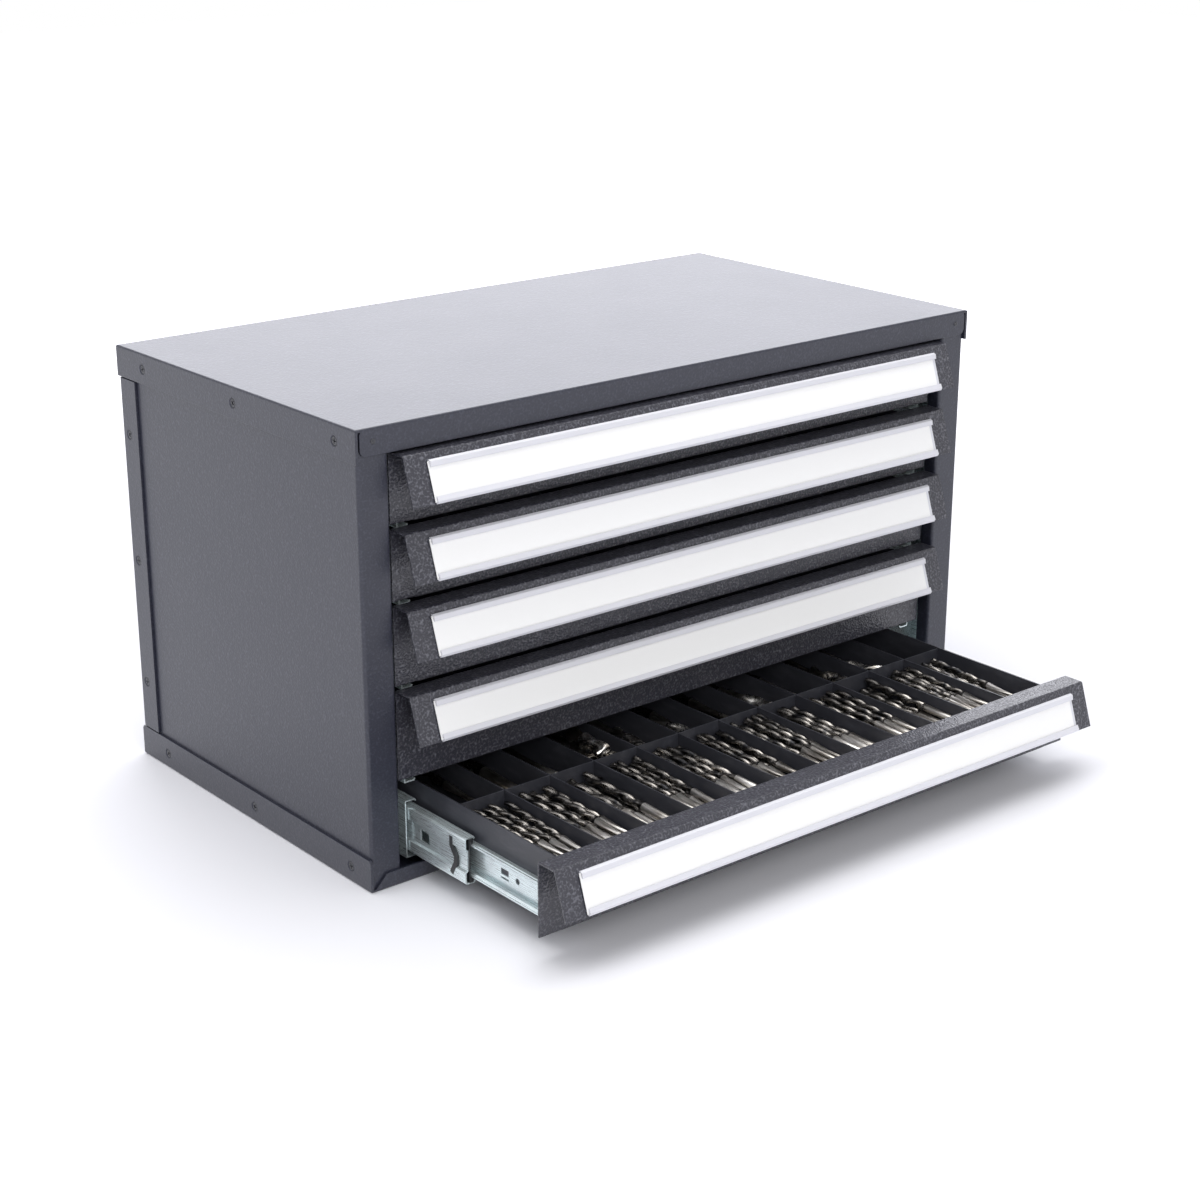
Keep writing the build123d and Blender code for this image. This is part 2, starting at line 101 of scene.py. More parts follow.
def repeats(size_mm: float) -> float:
    """Give the scale at which a pattern's features are a size in millimetres."""
    return 1 / (size_mm * MM)


def feed(tree: bpy.types.NodeTree, node: bpy.types.Node, inputs: dict) -> None:
    """Give a node its values and links.

    Args:
        tree: the node tree that holds it.
        node: the node.
        inputs: a value or an output socket for each input, by name or by place.
    """
    for key, value in inputs.items():
        if isinstance(value, Socket):
            tree.links.new(value, node.inputs[key])
        else:
            node.inputs[key].default_value = value


def add_node(tree: bpy.types.NodeTree, kind: str, inputs: dict | None = None,
             **settings: object) -> bpy.types.Node:
    """Add one node with its settings, values and links.

    Args:
        tree: the node tree to add to.
        kind: the node's type, without the leading "ShaderNode".
        inputs: a value or an output socket for each input, by name or by place.
        settings: attributes of the node itself.

    Returns:
        The new node.
    """
    node = tree.nodes.new("ShaderNode" + kind)
    for name, value in settings.items():
        setattr(node, name, value)
    feed(tree, node, inputs or {})
    return node


# ---------------------------------------------------------------- shapes
@dataclass
class Shape:
    """The points and faces of one piece, gathered solid by solid.

    Attributes:
        points: corner points, in metres.
        faces: corner numbers of each face.
        finish_of: which of the piece's materials each face takes.
    """

    points: list[Point] = field(default_factory=list)
    faces: list[list[int]] = field(default_factory=list)
    finish_of: list[int] = field(default_factory=list)

    def add(self, points: list[Point], faces: list[list[int]], finish_of: list[int] | None = None) -> None:
        """Add one solid.

        Args:
            points: its corner points, in metres.
            faces: corner numbers of each face, counted from its own first point.
            finish_of: which material each face takes. Without it they all take the first.
        """
        start = len(self.points)
        self.points += points
        self.faces += [[start + i for i in face] for face in faces]
        self.finish_of += finish_of or [0] * len(faces)


def add_mesh(name: str, shape: Shape, finishes: list[bpy.types.Material], body: str,
             smooth: bool = False) -> bpy.types.Object:
    """Make one piece and let it ride on a body.

    Args:
        name: the piece's name.
        shape: its points and faces.
        finishes: its materials.
        body: the body that carries it.
        smooth: whether its faces shade as one round surface.

    Returns:
        The new object.
    """
    mesh = bpy.data.meshes.new(name)
    mesh.from_pydata(shape.points, [], shape.faces)
    for finish in finishes:
        mesh.materials.append(finish)
    mesh.polygons.foreach_set("material_index", shape.finish_of)
    mesh.polygons.foreach_set("use_smooth", [smooth] * len(mesh.polygons))
    mesh.validate()
    mesh.update()
    piece = bpy.data.objects.new(name, mesh)
    bpy.context.scene.collection.objects.link(piece)
    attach(piece, body)
    log.info("%s: %d faces on %s", name, len(mesh.polygons), body)
    return piece


def clusters(node: bpy.types.Object, reach: float) -> list[tuple[Vector, Vector]]:
    """Find the separate small solids in one node.

    Args:
        node: a node that holds several solids well apart.
        reach: the widest that one of them is.

    Returns:
        The lowest and highest corner of each.
    """
    found: list[tuple[Vector, Vector]] = []
    for vertex in node.data.vertices:
        point = vertex.co
        for low, high in found:
            if all(high[i] - reach < point[i] < low[i] + reach for i in range(3)):
                for i in range(3):
                    low[i], high[i] = min(low[i], point[i]), max(high[i], point[i])
                break
        else:
            found.append((point.copy(), point.copy()))
    return found


def circle(sides: int) -> list[tuple[float, float]]:
    """Give the corners of a regular polygon in a circle of radius 1."""
    angles = [2 * math.pi * i / sides for i in range(sides)]
    return [(math.cos(a), math.sin(a)) for a in angles]


# ---------------------------------------------------------------- finishes
@dataclass(frozen=True)
class Surface:
    """What a finish's pattern is drawn on.

    Attributes:
        tree: the material's nodes.
        place: object coordinates, in metres.
        edge: the normal, with a sheet's edges rounded.
    """

    tree: bpy.types.NodeTree
    place: Socket
    edge: Socket


@dataclass(frozen=True)
class Finish:
    """What every finish has: one principled shader, and edges rounded by a fraction of a millimetre."""

    name: str
    colour: str
    roughness: float
    metallic: float = 0.0
    edge_mm: float = 0.3            # radius that the light sees along a sheet's edges

    def build(self) -> bpy.types.Material:
        """Make the material.

        Returns:
            The new material.
        """
        material = bpy.data.materials.new(self.name)
        material.use_nodes = True
        tree = material.node_tree
        shader = tree.nodes["Principled BSDF"]
        feed(tree, shader, {"Base Color": linear(self.colour), "Roughness": self.roughness,
                            "Metallic": self.metallic})
        place = add_node(tree, "TexCoord").outputs["Object"]
        edge = add_node(tree, "Bevel", {"Radius": self.edge_mm * MM}, samples=4).outputs["Normal"]
        feed(tree, shader, self.pattern(Surface(tree, place, edge)))
        return material

    def pattern(self, on: Surface) -> dict[str, Socket]:
        """Draw the finish's own pattern.

        Args:
            on: the surface to draw it on.

        Returns:
            What the shader takes from it, by the name of the shader's input.
        """
        raise NotImplementedError


@dataclass(frozen=True)
class PowderCoat(Finish):
    """Textured powder coat, sprayed and baked: a leathery orange peel, semi-gloss.

    The real grain is about 1 mm. It is drawn a little coarser, so that it shows from where the camera
    stands. Its crests are coloured paler: a painted highlight, standing in for the light that they catch.
    A slow mottle of the gloss lies over it.
    """

    grain_mm: float = 1.4
    grains_to_swell: float = 4.0    # the grain lies on slower swells
    relief_mm: float = 0.13
    # painted highlight: a pale colour on the grain's crests, standing in for the light that they catch
    painted_highlight: str = "484A58"
    crest: Span = (0.42, 0.85)       # grain height where the painted highlight starts, and where it is full
    painted_highlight_share: float = 0.5        # how much of its colour a full painted highlight shows
    mottle_mm: float = 60.0
    mottle: float = 0.015           # how far the gloss goes up and down

    def pattern(self, on: Surface) -> dict[str, Socket]:
        """Draw grain in the normal, a painted highlight on its crests in the colour, and mottle in the
        gloss.

        Args:
            on: the surface to draw it on.

        Returns:
            What the shader takes from it.
        """
        grain = add_node(on.tree, "TexVoronoi", {"Vector": on.place, "Scale": repeats(self.grain_mm)},
                         feature="SMOOTH_F1")
        swell = add_node(on.tree, "TexNoise", {
            "Vector": on.place, "Scale": repeats(self.grains_to_swell * self.grain_mm), "Detail": 3.0})
        height = add_node(on.tree, "Math", {0: grain.outputs["Distance"], 1: swell.outputs["Fac"]},
                          operation="ADD")
        bump = add_node(on.tree, "Bump", {"Strength": 1.0, "Distance": self.relief_mm * MM,
                                          "Height": height.outputs[0], "Normal": on.edge})
        slow = add_node(on.tree, "TexNoise", {"Vector": on.place, "Scale": repeats(self.mottle_mm),
                                              "Detail": 4.0})
        gloss = add_node(on.tree, "MapRange", {"Value": slow.outputs["Fac"],
                                               "To Min": self.roughness - self.mottle,
                                               "To Max": self.roughness + self.mottle})
        # painted highlight: the higher the grain, the more of the pale colour it takes
        tint = add_node(on.tree, "MapRange", {"Value": grain.outputs["Distance"], "From Min": self.crest[0],
                                              "From Max": self.crest[1], "To Max": self.painted_highlight_share})
        colour = add_node(on.tree, "MixRGB", {"Fac": tint.outputs[0], "Color1": linear(self.colour),
                                              "Color2": linear(self.painted_highlight)})
        return {"Base Color": colour.outputs[0], "Roughness": gloss.outputs[0], "Normal": bump.outputs[0]}


@dataclass(frozen=True)
class SmoothCoat(Finish):
    """Smooth satin coat, on the tray and its plates and on the screws.

    It is rubbed a little lighter where bits slide over it.
    """

    scuff_mm: float = 9.0
    stretch: Point = (1.0, 0.25, 1.0)               # draws the scuffs four times as long as they are wide
    scuffed: str = "4A4B52"
    wear: Span = (0.5, 0.8)          # where rubbing starts, and where it is full
    sheen: float = 0.12             # how far the gloss goes up and down
    peel_mm: float = 2.5
    relief_mm: float = 0.05
    peel_strength: float = 0.35

    def pattern(self, on: Surface) -> dict[str, Socket]:
        """Draw long soft scuffs along the drawer, and a faint peel.

        Args:
            on: the surface to draw them on.

        Returns:
            What the shader takes from them.
        """
        along = add_node(on.tree, "Mapping", {"Vector": on.place, "Scale": self.stretch})
        scuff = add_node(on.tree, "TexNoise", {"Vector": along.outputs[0], "Scale": repeats(self.scuff_mm),
                                               "Detail": 6.0, "Roughness": 0.65})
        worn = add_node(on.tree, "MapRange", {"Value": scuff.outputs["Fac"], "From Min": self.wear[0],
                                              "From Max": self.wear[1]})
        colour = add_node(on.tree, "MixRGB", {"Fac": worn.outputs[0], "Color1": linear(self.colour),
                                              "Color2": linear(self.scuffed)})
        gloss = add_node(on.tree, "MapRange", {"Value": scuff.outputs["Fac"],
                                               "To Min": self.roughness - self.sheen,
                                               "To Max": self.roughness + self.sheen})
        peel = add_node(on.tree, "TexNoise", {"Vector": on.place, "Scale": repeats(self.peel_mm),
                                              "Detail": 2.0})
        bump = add_node(on.tree, "Bump", {"Strength": self.peel_strength, "Distance": self.relief_mm * MM,
                                          "Height": peel.outputs["Fac"], "Normal": on.edge})
        return {"Base Color": colour.outputs[0], "Roughness": gloss.outputs[0], "Normal": bump.outputs[0]}


@dataclass(frozen=True)
class RolledZinc(Finish):
    """Bright zinc plate on cold-rolled steel: faint lines along the strip and a cool, cloudy tint.

    The passivated layer scatters a part of the light, so the plate isn't wholly metallic. The lines of
    the rolls are finer in truth: they are drawn half a millimetre wide, so that they show.
    """

    line_mm: float = 0.5
    stretch: Point = (1.0, 0.03, 1.0)               # draws the lines out along the strip
    line_sheen: float = 0.05        # how far the gloss goes up and down
    relief_mm: float = 0.003
    line_strength: float = 0.12
    cloud_mm: float = 14.0
    cloud: str = "D6E2E4"
    haze: Span = (0.35, 0.65)        # where a cloud starts, and where it is full

    def pattern(self, on: Surface) -> dict[str, Socket]:
        """Draw rolling lines in the gloss and the normal, and clouds in the colour.

        Args:
            on: the surface to draw them on.

        Returns:
            What the shader takes from them.
        """
        along = add_node(on.tree, "Mapping", {"Vector": on.place, "Scale": self.stretch})
        lines = add_node(on.tree, "TexNoise", {"Vector": along.outputs[0], "Scale": repeats(self.line_mm),
                                               "Detail": 3.0})
        cloud = add_node(on.tree, "TexNoise", {"Vector": on.place, "Scale": repeats(self.cloud_mm),
                                               "Detail": 4.0})
        tint = add_node(on.tree, "MapRange", {"Value": cloud.outputs["Fac"], "From Min": self.haze[0],
                                              "From Max": self.haze[1]})
        colour = add_node(on.tree, "MixRGB", {"Fac": tint.outputs[0], "Color1": linear(self.colour),
                                              "Color2": linear(self.cloud)})
        gloss = add_node(on.tree, "MapRange", {"Value": lines.outputs["Fac"],
                                               "To Min": self.roughness - self.line_sheen,
                                               "To Max": self.roughness + self.line_sheen})
        bump = add_node(on.tree, "Bump", {"Strength": self.line_strength, "Distance": self.relief_mm * MM,
                                          "Height": lines.outputs["Fac"], "Normal": on.edge})
        return {"Base Color": colour.outputs[0], "Roughness": gloss.outputs[0], "Normal": bump.outputs[0]}


@dataclass(frozen=True)
class DrawnLines(Finish):
    """Anodised extrusion, moulded plastic or card: drawn lines, or an even tooth, seen only in the sheen.

    The real lines are finer: they are drawn 0.6 mm wide, so that they show.
    """

    line_mm: float = 0.6
    stretch: Point = (0.02, 1.0, 1.0)               # draws the lines out along an extrusion
    relief_mm: float = 0.01
    line_strength: float = 0.4
    tone: str = "DADAE2"            # colour in the lines' hollows

    def pattern(self, on: Surface) -> dict[str, Socket]:
        """Draw one noise in both the tone and the relief.

        Args:
            on: the surface to draw it on.

        Returns:
            What the shader takes from it.
        """
        along = add_node(on.tree, "Mapping", {"Vector": on.place, "Scale": self.stretch})
        lines = add_node(on.tree, "TexNoise", {"Vector": along.outputs[0], "Scale": repeats(self.line_mm),
                                               "Detail": 3.0})
        colour = add_node(on.tree, "MixRGB", {"Fac": lines.outputs["Fac"], "Color1": linear(self.colour),
                                              "Color2": linear(self.tone)})
        bump = add_node(on.tree, "Bump", {"Strength": self.line_strength, "Distance": self.relief_mm * MM,
                                          "Height": lines.outputs["Fac"], "Normal": on.edge})
        return {"Base Color": colour.outputs[0], "Normal": bump.outputs[0]}


@dataclass(frozen=True)
class ToolSteel(Finish):
    """High-speed steel: heat-tinted bronze and black in the flutes, or ground bright on the shank."""

    heat: str = "A39C93"
    patch_mm: float = 6.0
    fade: Span = (0.375, 0.625)      # where a patch of heat tint starts, and where it is full
    duller: float = 0.1             # roughness added where there is no tint
    glossier: float = 0.08          # and taken away where it is full

    def pattern(self, on: Surface) -> dict[str, Socket]:
        """Draw patches of heat tint, with the gloss following them, and leave a bit's edges sharp.

        Args:
            on: the surface to draw them on.

        Returns:
            What the shader takes from them.
        """
        patch = add_node(on.tree, "TexNoise", {"Vector": on.place, "Scale": repeats(self.patch_mm),
                                               "Detail": 4.0})
        tint = add_node(on.tree, "MapRange", {"Value": patch.outputs["Fac"], "From Min": self.fade[0],
                                              "From Max": self.fade[1]})
        colour = add_node(on.tree, "MixRGB", {"Fac": tint.outputs[0], "Color1": linear(self.colour),
                                              "Color2": linear(self.heat)})
        gloss = add_node(on.tree, "MapRange", {"Value": patch.outputs["Fac"],
                                               "To Min": self.roughness + self.duller,
                                               "To Max": self.roughness - self.glossier})
        return {"Base Color": colour.outputs[0], "Roughness": gloss.outputs[0]}


class Palette:
    """The case's finishes, each made once."""

    def __init__(self) -> None:
        """Make every material."""
        even = (1.0, 1.0, 1.0)
        # The drawers' coat is drawn lighter than the case's, with paler painted highlights on its grain:
        # painted light, which brightens the pulls' lit tops and ends.
        self.case_paint = PowderCoat("powder_coat_charcoal_case", "272936", 0.4, edge_mm=0.6).build()
        self.drawer_paint = PowderCoat("powder_coat_charcoal_drawer", "33333C", 0.3, edge_mm=0.7,
                                       relief_mm=0.46, painted_highlight="94959F").build()
        self.screw_paint = SmoothCoat("painted_steel_screw", "303137", 0.35, edge_mm=0.1).build()
        self.tray_paint = SmoothCoat("satin_coat_charcoal_tray", "35363D", 0.42, edge_mm=0.25).build()
        self.zinc = RolledZinc("bright_zinc_plated_steel", "CED7DA", 0.28, 0.6).build()
        self.holder = DrawnLines("white_anodised_extrusion", "E4E4EB", 0.3, edge_mm=0.5).build()
        self.card = DrawnLines("white_card", "FDFDFD", 0.6, stretch=even, tone="F8F8F8").build()
        self.plastic = DrawnLines("moulded_black_acetal", "1F2022", 0.38, stretch=even,
                                  tone="292A2D").build()
        self.flutes = ToolSteel("high_speed_steel_flutes", "363638", 0.27, 1.0, heat="A29D97",
                                patch_mm=12.0).build()
        self.shanks = ToolSteel("ground_steel_shank", "CFCCC8", 0.3, 1.0, heat="ADA79F",
                                patch_mm=30.0).build()
        self.cutters = ToolSteel("ground_steel_cutter", "DEDCD9", 0.25, 1.0).build()

    def for_slot(self, slot: str) -> bpy.types.Material:
        """Give the material of one of the record's slots.

        Args:
            slot: the slot's name.

        Returns:
            Its material.
        """
        return {
            "case_paint": self.case_paint, "drawer_paint": self.drawer_paint, "tray_paint": self.tray_paint,
            "holder_aluminium": self.holder, "card_white": self.card, "zinc_steel": self.zinc,
            "black_plastic": self.plastic, "black_screws": self.screw_paint,
            "ball_steel": self.shanks,      # the balls and their strip are ground steel too
        }[slot]


# ---------------------------------------------------------------- case
@dataclass
class Case:
    """The frame's own nodes, each in the finish of its slot."""

    palette: Palette

    def dress(self, frame: dict) -> None:
        """Give every node its material.

        Args:
            frame: the record and the nodes, as the frame holds them.
        """
        for row in frame["record"]["subparts"]:
            mesh = frame["nodes"][row["node"]].data
            finish = self.palette.for_slot(row["material_slot"])
            mesh.materials.clear()
            mesh.materials.append(finish)
            log.info("%s: %s", row["node"], finish.name)


@dataclass
class Fasteners:
    """Cross-recessed screw heads on the sides, and two small rivets on the front flange."""

    palette: Palette
    reach_mm: float = 12.0          # wider than any screw or rivet in the frame
    sides: int = 24
    head_mm: float = 3.4            # radius of a head, where it meets its countersink
    sunk_mm: float = 0.7            # how far a head's rim lies below the sheet
    skirt_mm: float = 0.6           # how far the head goes on below its rim
    crown_mm: float = 0.5           # how far its top stands above its rim
    crown: tuple[float, float] = (0.8, 0.7)         # the crown's shoulder, as shares of radius and height
    arm_mm: float = 2.1             # reach of the recess's arms
    half_mm: float = 0.55           # and half their width
    recess_mm: float = 1.3          # how deep the recess goes
    recess_floor: float = 0.45      # size of its floor, as a share of its mouth
    rivet_mm: float = 2.0           # radius of a rivet's dome
    # The dome's outline, with a dimple in its middle: share of the radius, and millimetres off the sheet.
    rivet_outline: tuple[tuple[float, float], ...] = (
        (1.0, -1.0), (1.0, 0.25), (0.85, 0.55), (0.5, 0.75), (0.25, 0.5), (0.01, 0.45))

    def recess(self, scale: float) -> list[tuple[float, float]]:
        """Draw the cross recess.

        Args:
            scale: its size, where 1 is the size of its mouth.

        Returns:
            The corners of its outline.
        """
        arm, half = self.arm_mm * scale, self.half_mm * scale
        corner = [(arm, -half), (arm, half), (half, half)]
        turns = ((1, 0, 0, 1), (0, -1, 1, 0), (-1, 0, 0, -1), (0, 1, -1, 0))
        return [(a * x + b * y, c * x + d * y) for a, b, c, d in turns for x, y in corner]

    def head(self, spin: float) -> tuple[list[Point], list[list[int]]]:
        """Model one head facing +Z, in millimetres.

        Args:
            spin: how far the recess is turned, in radians.

        Returns:
            Its points and its faces.
        """
        bm = bmesh.new()
        rings = []
        rim, top = -self.sunk_mm, -self.sunk_mm + self.crown_mm
        for radius, height in ((self.head_mm, rim - self.skirt_mm), (self.head_mm, rim),
                               (self.head_mm * self.crown[0], rim + self.crown_mm * self.crown[1])):
            rings.append([bm.verts.new((radius * x, radius * y, height)) for x, y in circle(self.sides)])
        cos, sin = math.cos(spin), math.sin(spin)
        for scale, height in ((1.0, top), (self.recess_floor, top - self.recess_mm)):
            rings.append([bm.verts.new((x * cos - y * sin, x * sin + y * cos, height))
                          for x, y in self.recess(scale)])
        skirt, brim, shoulder, mouth, bottom = rings
        for lower, upper in ((skirt, brim), (brim, shoulder), (mouth, bottom)):
            for i in range(len(lower)):
                j = (i + 1) % len(lower)
                bm.faces.new((lower[i], lower[j], upper[j], upper[i]))
        bm.faces.new(bottom)
        loops = [bm.edges.get((ring[i], ring[(i + 1) % len(ring)]))
                 for ring in (shoulder, mouth) for i in range(len(ring))]
        bmesh.ops.triangle_fill(bm, edges=loops, normal=(0, 0, 1), use_beauty=True)
        bmesh.ops.recalc_face_normals(bm, faces=bm.faces)
        bm.verts.index_update()
        points = [tuple(v.co) for v in bm.verts]
        faces = [[v.index for v in face.verts] for face in bm.faces]
        bm.free()
        return points, faces

    def screws(self, node: bpy.types.Object) -> None:
        """Set a head in every countersink of the case, each with its recess turned its own way.

        Args:
            node: the frame's plain screws.
        """
        heads = Shape()
        for low, high in clusters(node, self.reach_mm * MM):
            outward = 1 if high.x > 0 else -1
            centre = Vector((high.x if outward > 0 else low.x, (low.y + high.y) / 2, (low.z + high.z) / 2))
            turn = Matrix.Rotation(outward * math.pi / 2, 4, "Y")
            points, faces = self.head(random.uniform(0, math.pi / 2))
            heads.add([tuple(centre + turn @ (Vector(p) * MM)) for p in points], faces)
        piece = add_mesh("case_screw_heads", heads, [self.palette.screw_paint], "case")
        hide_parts("case_screws")

    def rivets(self, node: bpy.types.Object) -> None:
        """Dome the two rivets.

        Args:
            node: the frame's plain rivets.
        """
        domes = Shape()
        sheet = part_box("top_cover")[0].y
        for low, high in clusters(node, self.reach_mm * MM):
            centre = Vector(((low.x + high.x) / 2, sheet, (low.z + high.z) / 2))
            rings = [(self.rivet_mm * share, height) for share, height in self.rivet_outline]
            points = [tuple(centre + Vector((radius * x, -height, radius * y)) * MM)
                      for radius, height in rings for x, y in circle(self.sides)]
            faces = []
            for start in range(0, self.sides * (len(rings) - 1), self.sides):
                for i in range(self.sides):
                    a, b = start + i, start + (i + 1) % self.sides
                    faces.append([a, b, b + self.sides, a + self.sides])
            domes.add(points, faces)
        piece = add_mesh("front_rivet_domes", domes, [self.palette.screw_paint], "case")
        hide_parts("front_rivets")


# ---------------------------------------------------------------- drill bits
class Tool(Enum):
    """The kinds of bit in the drawer."""

    TWIST_DRILL = "twist drill"
    END_CUTTER = "end cutter"


@dataclass
class Bit:
    """One bit, lying along +Y from the end of its shank, in millimetres."""

    kind: Tool
    diameter: float
    length: float
    shank: float
    rings_per_turn: int             # sections to one turn of the helix
    pitch_ratio: float = 5.44       # a helix of 30 degrees
    point_angle: float = math.radians(118)
    chamfer: float = 0.6            # length of the bevel at the shank's end, and of a cutter's at its own

    # Radius of the section round half a turn: a land, its heel, and the flute's hollow.
    SECTION = (1.0, 1.0, 0.9, 0.5, 0.3, 0.45)
    # Radius of the two ends, as shares of the bit's own.
    SHANK_END = 0.86
    WORKING_END = {Tool.TWIST_DRILL: 0.12, Tool.END_CUTTER: 0.9}

    def ring(self, y: float, radius: float, fluted: bool, turn: float) -> list[Point]:
        """Give the points of one section, turned about the bit's axis.

        Args:
            y: where along the bit it lies.
            radius: its radius.
            fluted: whether it has flutes or is round.
            turn: its angle, in radians.

        Returns:
            Its points.
        """
        factors = self.SECTION * 2
        step = 2 * math.pi / len(factors)
        return [(radius * (k if fluted else 1.0) * math.cos(turn + i * step), y,
                 radius * (k if fluted else 1.0) * math.sin(turn + i * step)) for i, k in enumerate(factors)]

    def build(self) -> tuple[list[Point], list[list[int]], list[int]]:
        """Model the bit.

        Returns:
            Its points, its faces, and 0 for a fluted face or 1 for a plain one.
        """
        radius, pitch = self.diameter / 2, self.pitch_ratio * self.diameter
        tip = radius / math.tan(self.point_angle / 2) if self.kind is Tool.TWIST_DRILL else self.chamfer
        fluted = self.length - tip - self.shank
        count = max(2, round(fluted / pitch * self.rings_per_turn))
        run = (fluted - radius) / count
        sections = [(0.0, radius * self.SHANK_END, False), (self.chamfer, radius, False),
                    (self.shank, radius, False)]
        sections += [(self.shank + radius + i * run, radius, True) for i in range(count + 1)]
        sections.append((self.length, radius * self.WORKING_END[self.kind], True))
        points: list[Point] = []
        for y, r, has_flutes in sections:
            points += self.ring(y, r, has_flutes, 2 * math.pi * y / pitch)
        size = 2 * len(self.SECTION)
        faces = [list(range(size))[::-1], list(range(len(points) - size, len(points)))]
        kinds = [1, 0]
        for row in range(len(sections) - 1):
            for i in range(size):
                a, b = row * size + i, row * size + (i + 1) % size
                faces.append([a, b, b + size, a + size])
                kinds.append(0 if sections[row + 1][2] else 1)
        return points, faces, kinds


@dataclass(frozen=True)
class Row:
    """One row of compartments and the bits in them, in millimetres.

    Attributes:
        name: what its piles are named for.
        diameters: the usual diameter of the bits in each column.
        length: length of its longest bits.
        top_front: height of a pile's top at its front, over the surface that the case stands on.
        top_back: its height at the back.
        cutters: how many end cutters lie on the pile of a column.
    """

    name: str
    diameters: tuple[float, ...]
    length: float
    top_front: float
    top_back: float
    cutters: dict[int, int] = field(default_factory=dict)


@dataclass
class Pile:
    """A compartment's bits, piled with their points to the back.

    Attributes:
        row: the row that the compartment is in.
        column: its place in the row, counted from 1 at the left.
        low: lowest corner of the compartment, in metres.
        high: highest corner.
        shape: the pile's points and faces so far.
    """

    row: Row
    column: int
    low: Vector
    high: Vector
    shape: Shape = field(default_factory=Shape)

    spacing: float = 1.04           # from one bit to the next, in usual diameters
    nesting: float = 0.86           # from one layer to the next
    loose: float = 0.25             # how far a bit that shows may stand up
    thickness: Span = (0.86, 1.04)  # a drill's diameter, in usual ones
    reach: Span = (0.93, 1.0)       # its length, as a share of the row's longest
    shank: Span = (0.36, 0.42)      # its shank, as a share of its length
    shift: Span = (0.1, 0.9)        # where it lies in the length left over
    tilt: Span = (-0.006, 0.012)    # how far it lies askew, in radians
    turn: Span = (-0.03, 0.03)
    gap_chance: float = 0.12        # of a place in the top layer that stays empty
    full_layers: int = 2            # layers that show, and so are drawn in full
    full_rings: int = 22            # sections to a turn of the helix, where it shows and where it doesn't
    hidden_rings: int = 3
    cutter_length: float = 46.0     # an end cutter, in millimetres
    cutter_shank: float = 18.0
    cutter_thickness: float = 1.5   # in usual diameters
    cutter_pitch: float = 4.0       # of its helix, in its own diameters
    cutter_rings: int = 14
    cutter_back: float = 52.0       # from the compartment's front to its shank's end, in millimetres
    cutter_stagger: float = 6.0     # and how much further back the next one lies
    cutter_up: float = 0.35         # over the drills, in usual diameters
    cutter_rise: float = 0.9        # and how much higher the next one lies
    cutter_across: Span = (0.25, 0.75)
    cutter_tilt: float = 0.05
    cutter_turn: Span = (-0.35, 0.35)

    @property
    def diameter(self) -> float:
        """Usual diameter of the pile's bits, in millimetres."""
        return self.row.diameters[self.column - 1]

    @property
    def wide(self) -> float:
        """Width of the compartment, in millimetres."""
        return (self.high.x - self.low.x) / MM

    @property
    def depth(self) -> float:
        """Height of the pile at its front, in millimetres."""
        return (self.row.top_front * MM - self.low.z) / MM

    def lay(self, palette: Palette) -> None:
        """Lay the pile and make it one piece.

        Args:
            palette: the case's finishes.
        """
        self.lay_drills()
        self.lay_cutters()
        add_mesh(f"bits_{self.row.name}_{self.column}", self.shape,
                 [palette.flutes, palette.shanks, palette.cutters], f"drawer_{OPEN_DRAWER}",
                 smooth=True)

    def lay_drills(self) -> None:
        """Lay the drills in layers, half a place over at each, level at the bottom and sloped at the top."""
        across = int(self.wide / (self.diameter * self.spacing))
        step = self.wide / across
        layers = max(2, round((self.depth - self.diameter) / (self.nesting * self.diameter)) + 1)
        rise = (self.depth - self.diameter) / (layers - 1)
        slope = math.atan2(self.row.top_back - self.row.top_front, self.row.length)
        for layer in range(layers):
            shown = layer >= layers - self.full_layers
            over = layer % 2
            for i in range(across - over):
                if layer == layers - 1 and random.random() < self.gap_chance:
                    continue
                size = self.diameter * random.uniform(*self.thickness)
                length = self.row.length * random.uniform(*self.reach)
                bit = Bit(Tool.TWIST_DRILL, size, length, length * random.uniform(*self.shank),
                          self.full_rings if shown else self.hidden_rings)
                x = (i + 0.5 + 0.5 * over) * step - self.wide / 2
                z = self.diameter / 2 + layer * rise + random.uniform(0, self.loose * self.diameter) * shown
                tilt = slope * layer / (layers - 1) + random.uniform(*self.tilt) * shown
                turn = random.uniform(*self.turn) * shown
                slack = (self.high.y - self.low.y) / MM - length * math.cos(tilt)
                y = random.uniform(*self.shift) * max(0.0, slack)
                self.place(bit, (x, y, z), tilt, turn)

    def lay_cutters(self) -> None:
        """Drop the end cutters on top of the drills, askew, with their working ends forward."""
        for i in range(self.row.cutters.get(self.column, 0)):
            bit = Bit(Tool.END_CUTTER, self.diameter * self.cutter_thickness, self.cutter_length,
                      self.cutter_shank, self.cutter_rings, self.cutter_pitch)
            x = self.wide * (random.uniform(*self.cutter_across) - 0.5)
            y = self.cutter_back + self.cutter_stagger * i
            z = self.depth + self.diameter * (self.cutter_up + self.cutter_rise * i)
            self.place(bit, (x, y, z), self.cutter_tilt, math.pi + random.uniform(*self.cutter_turn),
                       bright=True)

    def place(self, bit: Bit, spot: Point, tilt: float, turn: float, bright: bool = False) -> None:
        """Add one bit to the pile, rolled about its own axis by chance.

        Args:
            bit: the bit.
            spot: the end of its shank, in millimetres across, back and up in the compartment.
            tilt: how far its other end is raised, in radians.
            turn: how far it is turned to the left, seen from above, in radians.
            bright: whether its flutes are ground bright.
        """
        points, faces, kinds = bit.build()
        base = Vector(((self.low.x + self.high.x) / 2, self.low.y, self.low.z))
        spin = Matrix.Rotation(random.uniform(0, math.tau), 3, "Y")
        way = Euler((tilt, 0.0, turn)).to_matrix() @ spin
        self.shape.add([tuple(base + (Vector(spot) + way @ Vector(p)) * MM) for p in points], faces,
                       [2 if bright and kind == 0 else kind for kind in kinds])


